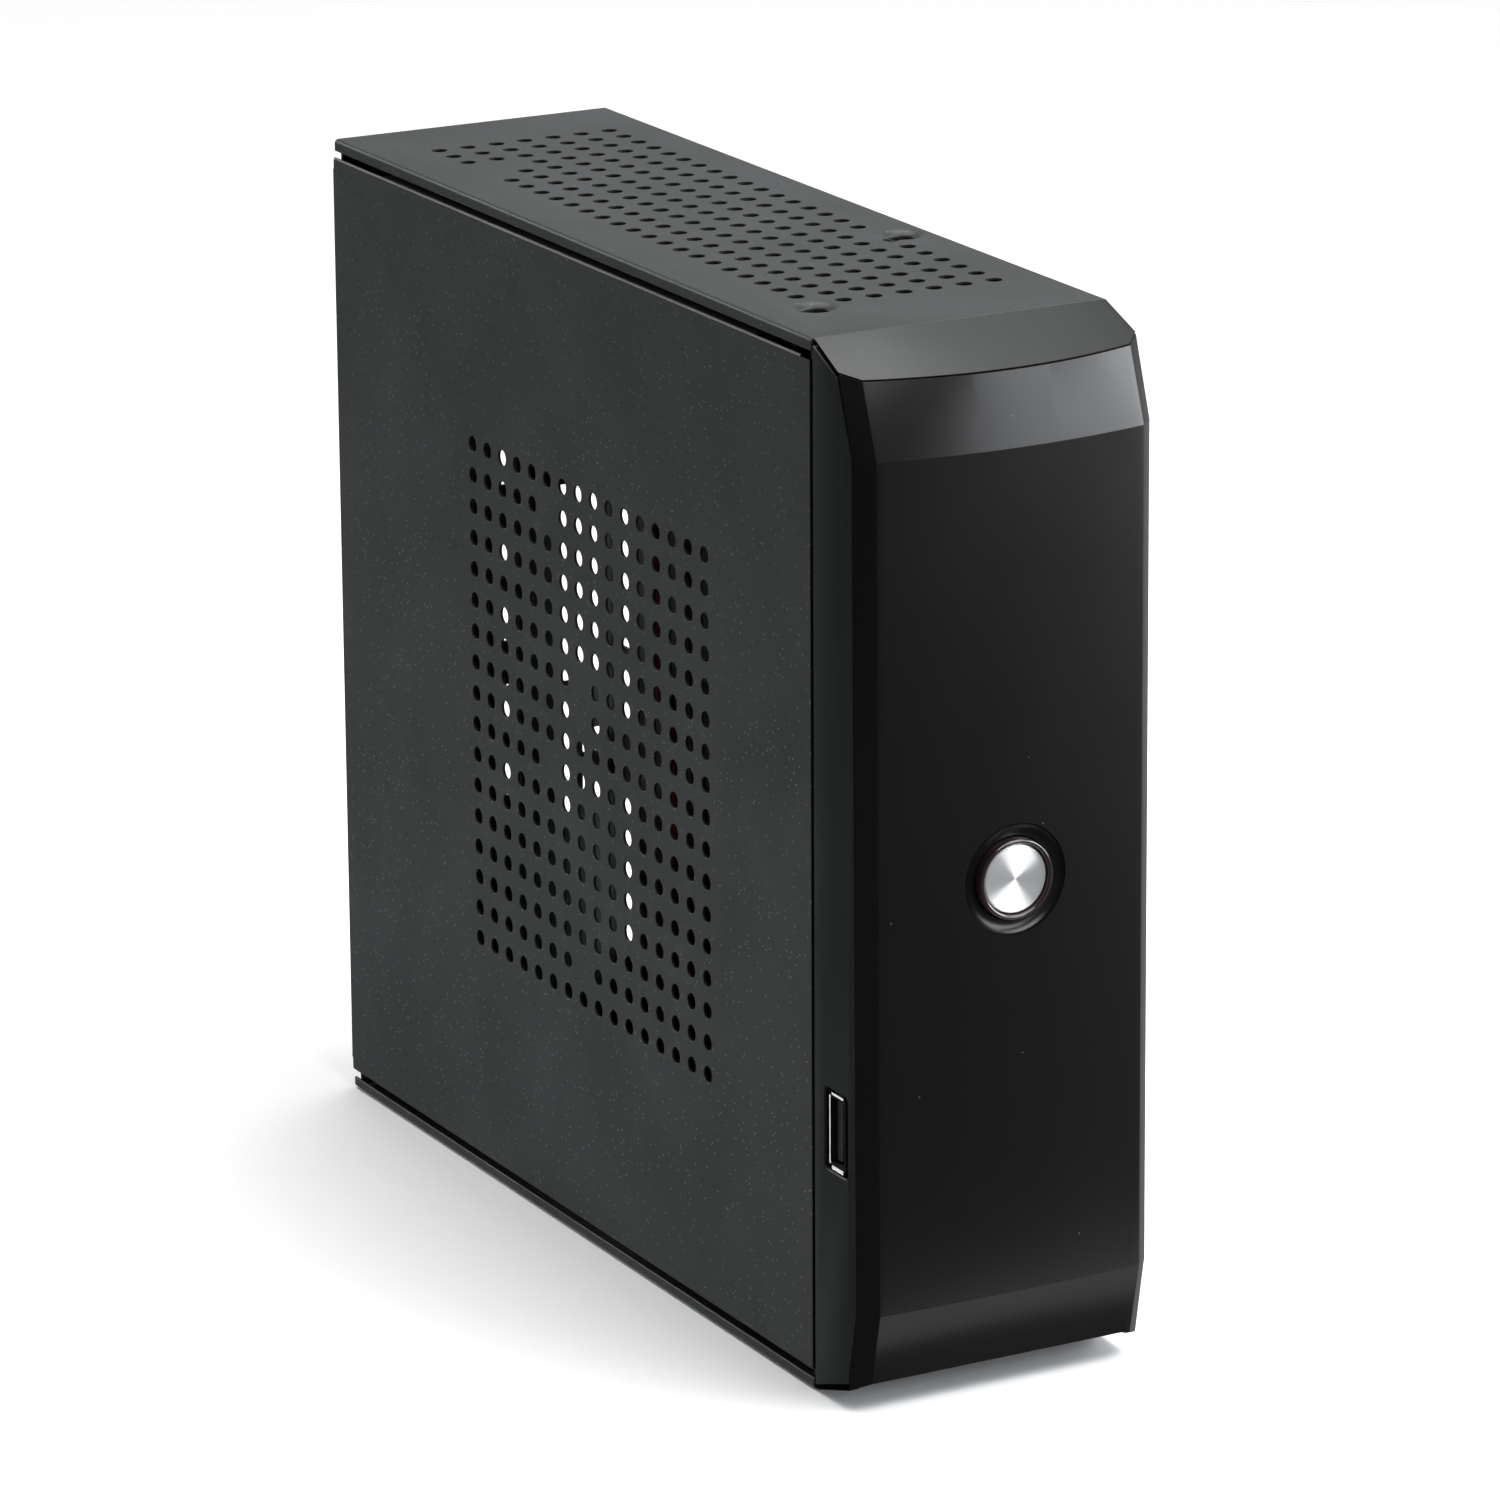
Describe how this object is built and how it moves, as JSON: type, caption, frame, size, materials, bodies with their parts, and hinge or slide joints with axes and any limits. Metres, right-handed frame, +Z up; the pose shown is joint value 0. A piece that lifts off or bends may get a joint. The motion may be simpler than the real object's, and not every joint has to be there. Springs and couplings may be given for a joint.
{
  "type": "mini pc",
  "caption": "Slim upright mini PC in a perforated black sheet-metal case with a faceted gloss front, round power button and side USB port.",
  "frame": {"origin": "centre of the bottom face", "axes": "+Z up, front faces -Y, the perforated removable cover faces -X"},
  "size_m": [0.0594, 0.2126, 0.193],
  "materials": {
    "black_sheet": "black powder coat, fine texture, semi-matte",
    "gloss_front": "high-gloss black",
    "matte_bezel": "fine-grained satin black",
    "spun_aluminium": "circular spun grain",
    "light_pipe": "tinted translucent",
    "steel": "plated, satin",
    "black_plastic": "moulded, satin",
    "white_plastic": "moulded, satin",
    "board_green": "solder mask over glass-epoxy laminate",
    "chip_black": "moulded epoxy",
    "heatsink_aluminium": "extruded, satin",
    "brass": "turned",
    "cable_black": "satin jacket",
    "cable_red": "satin jacket"
  },
  "bodies": {
    "case": {"bezel_back_frame": "matte_bezel", "bezel_left_strip": "matte_bezel", "bezel_right_strip": "matte_bezel", "board_screw_1": "steel", "board_screw_2": "steel", "board_screw_3": "steel", "board_screw_4": "steel", "board_standoff_1": "brass", "board_standoff_2": "brass", "board_standoff_3": "brass", "board_standoff_4": "brass", "bottom_panel": "black_sheet", "coin_cell": "steel", "coin_cell_holder": "black_plastic", "cover_screw_lower": "steel", "cover_screw_upper": "steel", "cpu_package": "chip_black", "dc_jack": "black_plastic", "drive": "heatsink_aluminium", "drive_bracket": "steel", "drive_data_cable": "cable_red", "drive_plug": "black_plastic", "drive_power_cable": "cable_black", "drive_power_header": "white_plastic", "drive_screw_1": "steel", "drive_screw_2": "steel", "drive_screw_3": "steel", "drive_screw_4": "steel", "fan_frame": "black_plastic", "front_bulkhead": "black_sheet", "front_header": "black_plastic", "front_plate": "gloss_front", "front_usb_cable": "cable_black", "hdmi_port": "steel", "heatsink": "heatsink_aluminium", "lan_jack": "steel", "light_ring": "light_pipe", "mainboard": "board_green", "memory_chip_1": "chip_black", "memory_chip_2": "chip_black", "rear_panel": "black_sheet", "right_panel": "black_sheet", "sata_socket": "black_plastic", "status_led_1": "light_pipe", "status_led_2": "light_pipe", "switch_board": "board_green", "switch_cable": "cable_black", "tact_switch": "black_plastic", "top_panel": "black_sheet", "usb_front_board": "board_green", "usb_front_shell": "steel", "usb_front_tongue": "white_plastic", "usb_rear_stack": "steel"},
    "left_cover": {"left_cover": "black_sheet"},
    "fan_rotor": {"fan_rotor": "black_plastic"},
    "power_button": {"power_button_cap": "spun_aluminium", "button_plunger": "white_plastic", "switch_nub": "black_plastic"}
  },
  "joints": [
    {"name": "power_button_press", "type": "slide", "parent": "case", "child": "power_button", "axis": [0, 1, 0], "range_m": [0, 0.0012], "stiffness_N_per_m": 1500},
    {"name": "fan_spin", "type": "hinge", "parent": "case", "child": "fan_rotor", "pos_m": [-0.0027, 0.00865, 0.159], "axis": [1, 0, 0], "continuous": true},
    {"name": "cover_lift", "type": "slide", "parent": "case", "child": "left_cover", "axis": [-1, 0, 0], "range_m": [0, 0.06]}
  ]
}
